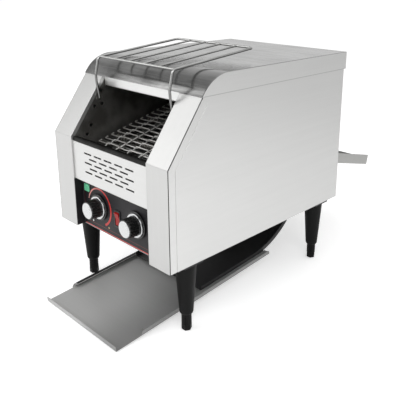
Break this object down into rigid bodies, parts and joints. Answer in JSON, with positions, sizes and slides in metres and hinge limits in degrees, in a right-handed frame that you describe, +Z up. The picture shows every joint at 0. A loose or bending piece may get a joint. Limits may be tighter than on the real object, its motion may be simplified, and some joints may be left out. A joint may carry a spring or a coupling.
{
  "type": "conveyor toaster",
  "caption": "Conveyor toaster with a sloping wire belt in a sheet steel casing on legs, wire rack, curved chute, front and rear trays, and two knobs.",
  "frame": {"origin": "on the floor, midway between the four feet", "axes": "+X to the right seen from the front, +Y to the rear, +Z up"},
  "size_m": [0.285, 0.6628, 0.4082],
  "materials": {
    "brushed_stainless": "fine brushed, satin",
    "polished_stainless": "polished, with a soft rolled sheen",
    "bright_reflector": "bright rolled sheet",
    "chamber_steel": "heat-darkened sheet",
    "galvanised_steel": "zinc-coated sheet",
    "charcoal_panel": "matt charcoal coating",
    "black_coated_steel": "satin black coating",
    "belt_wire": "drawn stainless wire",
    "rack_wire": "polished stainless wire",
    "machined_steel": "turned steel",
    "sintered_bronze": "sintered bronze",
    "quartz_glass": "frosted quartz tube",
    "white_ceramic": "unglazed ceramic",
    "black_plastic": "satin moulded plastic",
    "knob_plastic": "glossy moulded plastic",
    "chromed_ring": "bright chromed",
    "spun_aluminium": "spun aluminium disc",
    "red_plastic": "translucent red moulded",
    "green_lens": "translucent green moulded",
    "zinc_plated_steel": "zinc plated",
    "motor_paint": "grey enamel"
  },
  "bodies": {
    "casing": {"side_panel_left": "brushed_stainless", "side_panel_right": "brushed_stainless", "front_bezel_left": "brushed_stainless", "front_bezel_right": "brushed_stainless", "top_cover": "polished_stainless", "back_panel": "brushed_stainless", "base_frame": "galvanised_steel", "slotted_front_panel": "brushed_stainless", "feed_lip": "chamber_steel", "control_panel": "charcoal_panel", "deflector_plate": "polished_stainless", "upper_reflector": "bright_reflector", "chamber_side_left": "chamber_steel", "chamber_side_right": "chamber_steel", "chamber_rear_wall": "chamber_steel", "heat_shield": "bright_reflector", "control_box_wall": "galvanised_steel", "upper_heating_tubes": "quartz_glass", "lower_heating_tubes": "quartz_glass", "ceramic_end_caps": "white_ceramic", "conveyor_belt": "belt_wire", "belt_rails": "machined_steel", "rail_crossbars": "machined_steel", "shaft_bushes": "sintered_bronze", "gear_motor": "motor_paint", "speed_controller": "black_plastic", "terminal_block": "white_ceramic", "speed_potentiometer": "machined_steel", "mode_switch": "black_plastic", "rocker_housing": "black_plastic", "pilot_lamp": "black_plastic", "pilot_lens": "green_lens", "curved_chute": "black_coated_steel", "chute_brackets": "black_coated_steel", "rear_tray": "brushed_stainless", "legs": "black_plastic", "leg_plates": "black_coated_steel", "leg_bolts": "zinc_plated_steel", "casing_screws": "zinc_plated_steel", "cable_gland": "black_plastic"},
    "wire_rack": {"wire_rack": "rack_wire"},
    "speed_knob": {"speed_spindle": "machined_steel", "speed_knob": "knob_plastic", "speed_knob_ring": "chromed_ring", "speed_knob_cap": "spun_aluminium"},
    "mode_knob": {"mode_spindle": "machined_steel", "mode_knob": "knob_plastic", "mode_knob_ring": "chromed_ring", "mode_knob_cap": "spun_aluminium"},
    "rocker": {"rocker_button": "red_plastic"},
    "output_tray": {"output_tray": "brushed_stainless"},
    "drive_shaft": {"drive_shaft": "machined_steel", "drive_sprockets": "machined_steel", "motor_coupling": "machined_steel"},
    "idler_shaft": {"idler_shaft": "machined_steel", "idler_sprockets": "machined_steel"},
    "foot_front_left": {"foot_front_left": "black_plastic"},
    "foot_front_right": {"foot_front_right": "black_plastic"},
    "foot_rear_left": {"foot_rear_left": "black_plastic"},
    "foot_rear_right": {"foot_rear_right": "black_plastic"}
  },
  "joints": [
    {"name": "rack_swing", "type": "hinge", "parent": "casing", "child": "wire_rack", "pos_m": [0, -0.149, 0.322], "axis": [1, 0, 0], "range_deg": [0, 141]},
    {"name": "speed_knob_turn", "type": "hinge", "parent": "casing", "child": "speed_knob", "pos_m": [-0.0485, -0.195, 0.157], "axis": [0, 1, 0], "range_deg": [0, 280]},
    {"name": "mode_knob_turn", "type": "hinge", "parent": "casing", "child": "mode_knob", "pos_m": [0.0485, -0.195, 0.157], "axis": [0, 1, 0], "range_deg": [0, 180]},
    {"name": "rocker_tilt", "type": "hinge", "parent": "casing", "child": "rocker", "pos_m": [0, -0.188, 0.151], "axis": [-1, 0, 0], "range_deg": [0, 16]},
    {"name": "tray_slide", "type": "slide", "parent": "casing", "child": "output_tray", "axis": [0, 0.9968, 0.0802], "range_m": [0, 0.1]},
    {"name": "drive_shaft_turn", "type": "hinge", "parent": "casing", "child": "drive_shaft", "pos_m": [0, 0.07891, 0.2996], "axis": [1, 0, 0], "continuous": true},
    {"name": "idler_shaft_turn", "type": "hinge", "parent": "casing", "child": "idler_shaft", "pos_m": [0, -0.167, 0.236], "axis": [1, 0, 0], "continuous": true},
    {"name": "foot_front_left_turn", "type": "hinge", "parent": "casing", "child": "foot_front_left", "pos_m": [-0.1235, -0.16, 0], "axis": [0, 0, 1], "continuous": true},
    {"name": "foot_front_right_turn", "type": "hinge", "parent": "casing", "child": "foot_front_right", "pos_m": [0.1235, -0.16, 0], "axis": [0, 0, 1], "continuous": true},
    {"name": "foot_rear_left_turn", "type": "hinge", "parent": "casing", "child": "foot_rear_left", "pos_m": [-0.1235, 0.16, 0], "axis": [0, 0, 1], "continuous": true},
    {"name": "foot_rear_right_turn", "type": "hinge", "parent": "casing", "child": "foot_rear_right", "pos_m": [0.1235, 0.16, 0], "axis": [0, 0, 1], "continuous": true}
  ],
  "couplings": [
    {"joint": "idler_shaft_turn", "follows": "drive_shaft_turn", "ratio": 1}
  ]
}
